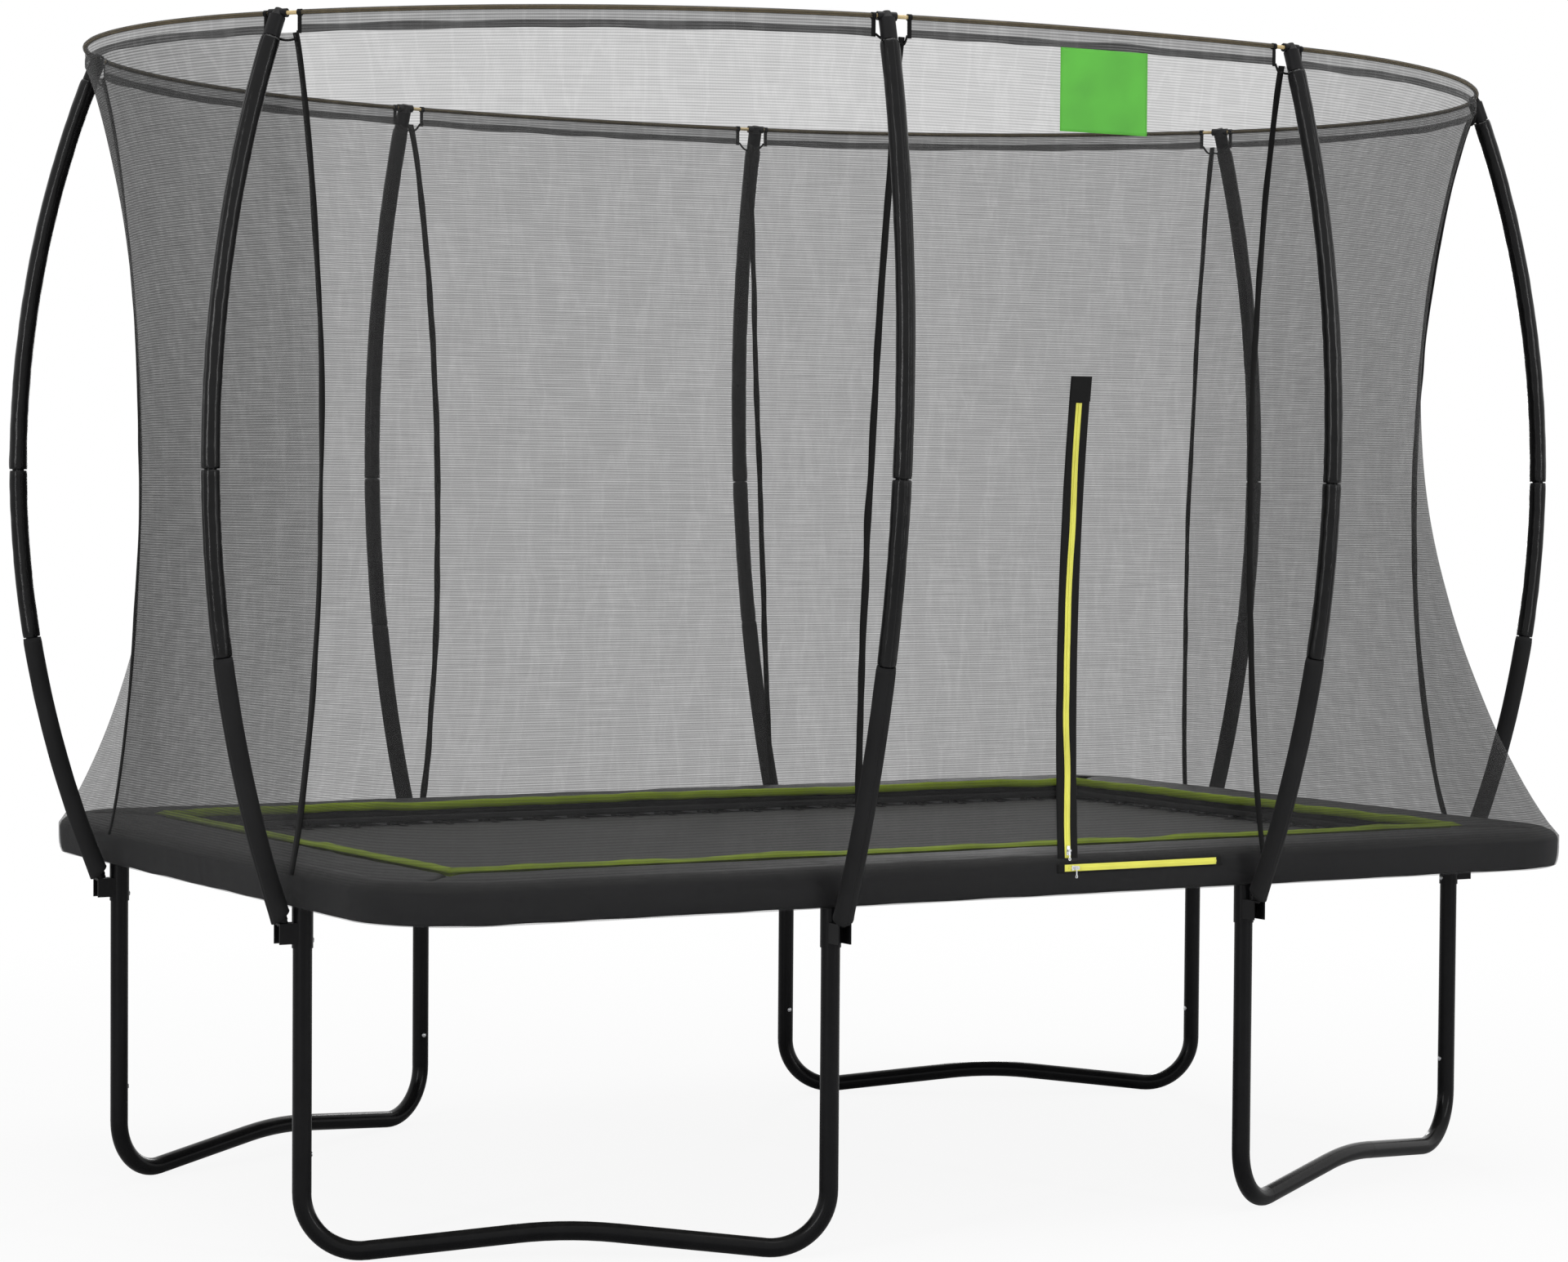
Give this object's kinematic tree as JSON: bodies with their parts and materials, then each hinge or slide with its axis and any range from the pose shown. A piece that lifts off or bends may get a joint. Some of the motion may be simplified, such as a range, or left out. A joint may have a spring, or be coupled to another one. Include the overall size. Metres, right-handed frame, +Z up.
{
  "type": "trampoline",
  "caption": "Rectangular garden trampoline with W-shaped leg bases, outward bowed net poles, a waisted safety net with a zipped door, a padded edge and a sprung mat.",
  "frame": {"origin": "on the ground, under the middle of the frame", "axes": "+X along the long sides, -Y the side with the zipped door, +Z up"},
  "size_m": [4.192, 3.121, 3.066],
  "materials": {
    "tube_black": "gloss",
    "pole_black": "gloss",
    "foam": "matt foam sleeve",
    "sleeve": "glossy coated sleeve",
    "cap": "moulded",
    "rod": "glass fibre, satin",
    "hem": "woven",
    "binding": "woven tape",
    "net": "open mesh",
    "pad": "coated cloth",
    "trim": "coated cloth",
    "mat": "woven, matt",
    "zinc": "zinc plated",
    "zip_black": "woven tape",
    "zip_yellow": "woven tape",
    "slider": "plated",
    "label": "bare printed cloth"
  },
  "bodies": {
    "frame_part": {"frame_corner_1": "tube_black", "frame_corner_2": "tube_black", "frame_corner_3": "tube_black", "frame_corner_4": "tube_black", "side_rails": "tube_black", "end_rails": "tube_black", "leg_upright_1": "tube_black", "leg_upright_2": "tube_black", "leg_upright_3": "tube_black", "leg_upright_4": "tube_black", "leg_upright_5": "tube_black", "leg_upright_6": "tube_black", "leg_upright_7": "tube_black", "leg_upright_8": "tube_black", "leg_base_1": "tube_black", "leg_base_2": "tube_black", "leg_base_3": "tube_black", "leg_base_4": "tube_black", "leg_screws": "zinc", "pole_brackets": "tube_black", "pole_lower_1": "pole_black", "pole_lower_2": "pole_black", "pole_lower_3": "pole_black", "pole_lower_4": "pole_black", "pole_lower_5": "pole_black", "pole_lower_6": "pole_black", "pole_lower_7": "pole_black", "pole_lower_8": "pole_black", "pole_upper_1": "pole_black", "pole_upper_2": "pole_black", "pole_upper_3": "pole_black", "pole_upper_4": "pole_black", "pole_upper_5": "pole_black", "pole_upper_6": "pole_black", "pole_upper_7": "pole_black", "pole_upper_8": "pole_black", "pole_foams": "foam", "pole_sleeves": "sleeve", "pole_caps": "cap", "ring_rods": "rod", "net_hems": "hem", "net_bindings": "binding", "net_front": "net", "net_back": "net", "net_ends": "net", "net_corners": "net", "net_skirt": "hem", "pad_sides": "pad", "pad_ends": "pad", "pad_trim": "trim", "springs": "zinc", "zip_band": "zip_black", "zip_tape": "zip_yellow", "label": "label"},
    "mat_part": {"mat": "mat", "mat_rings": "zinc"},
    "upright_slider": {"zip_slider_up": "slider"},
    "upright_tab": {"pull_tab_up": "slider"},
    "side_slider": {"zip_slider_side": "slider"},
    "side_tab": {"pull_tab_side": "slider"}
  },
  "joints": [
    {"name": "mat_bounce", "type": "slide", "parent": "frame_part", "child": "mat_part", "axis": [0, 0, 1], "range_m": [-0.25, 0], "stiffness_N_per_m": 5000, "springref_m": 0.0343, "deforming": ["springs"]},
    {"name": "zip_up", "type": "hinge", "parent": "frame_part", "child": "upright_slider", "pos_m": [0.045, -7.60463, 1.37133], "axis": [1, 0, 0], "range_deg": [0, 10]},
    {"name": "zip_side", "type": "slide", "parent": "frame_part", "child": "side_slider", "axis": [1, 0, 0], "range_m": [0, 0.42]},
    {"name": "tab_up_swing", "type": "hinge", "parent": "upright_slider", "child": "upright_tab", "pos_m": [0.045, -1.24375, 0.98967], "axis": [1, 0, 0], "range_deg": [-170, 10]},
    {"name": "tab_side_swing", "type": "hinge", "parent": "side_slider", "child": "side_tab", "pos_m": [0.067, -1.245, 0.944], "axis": [1, 0, 0], "range_deg": [-170, 10]}
  ]
}
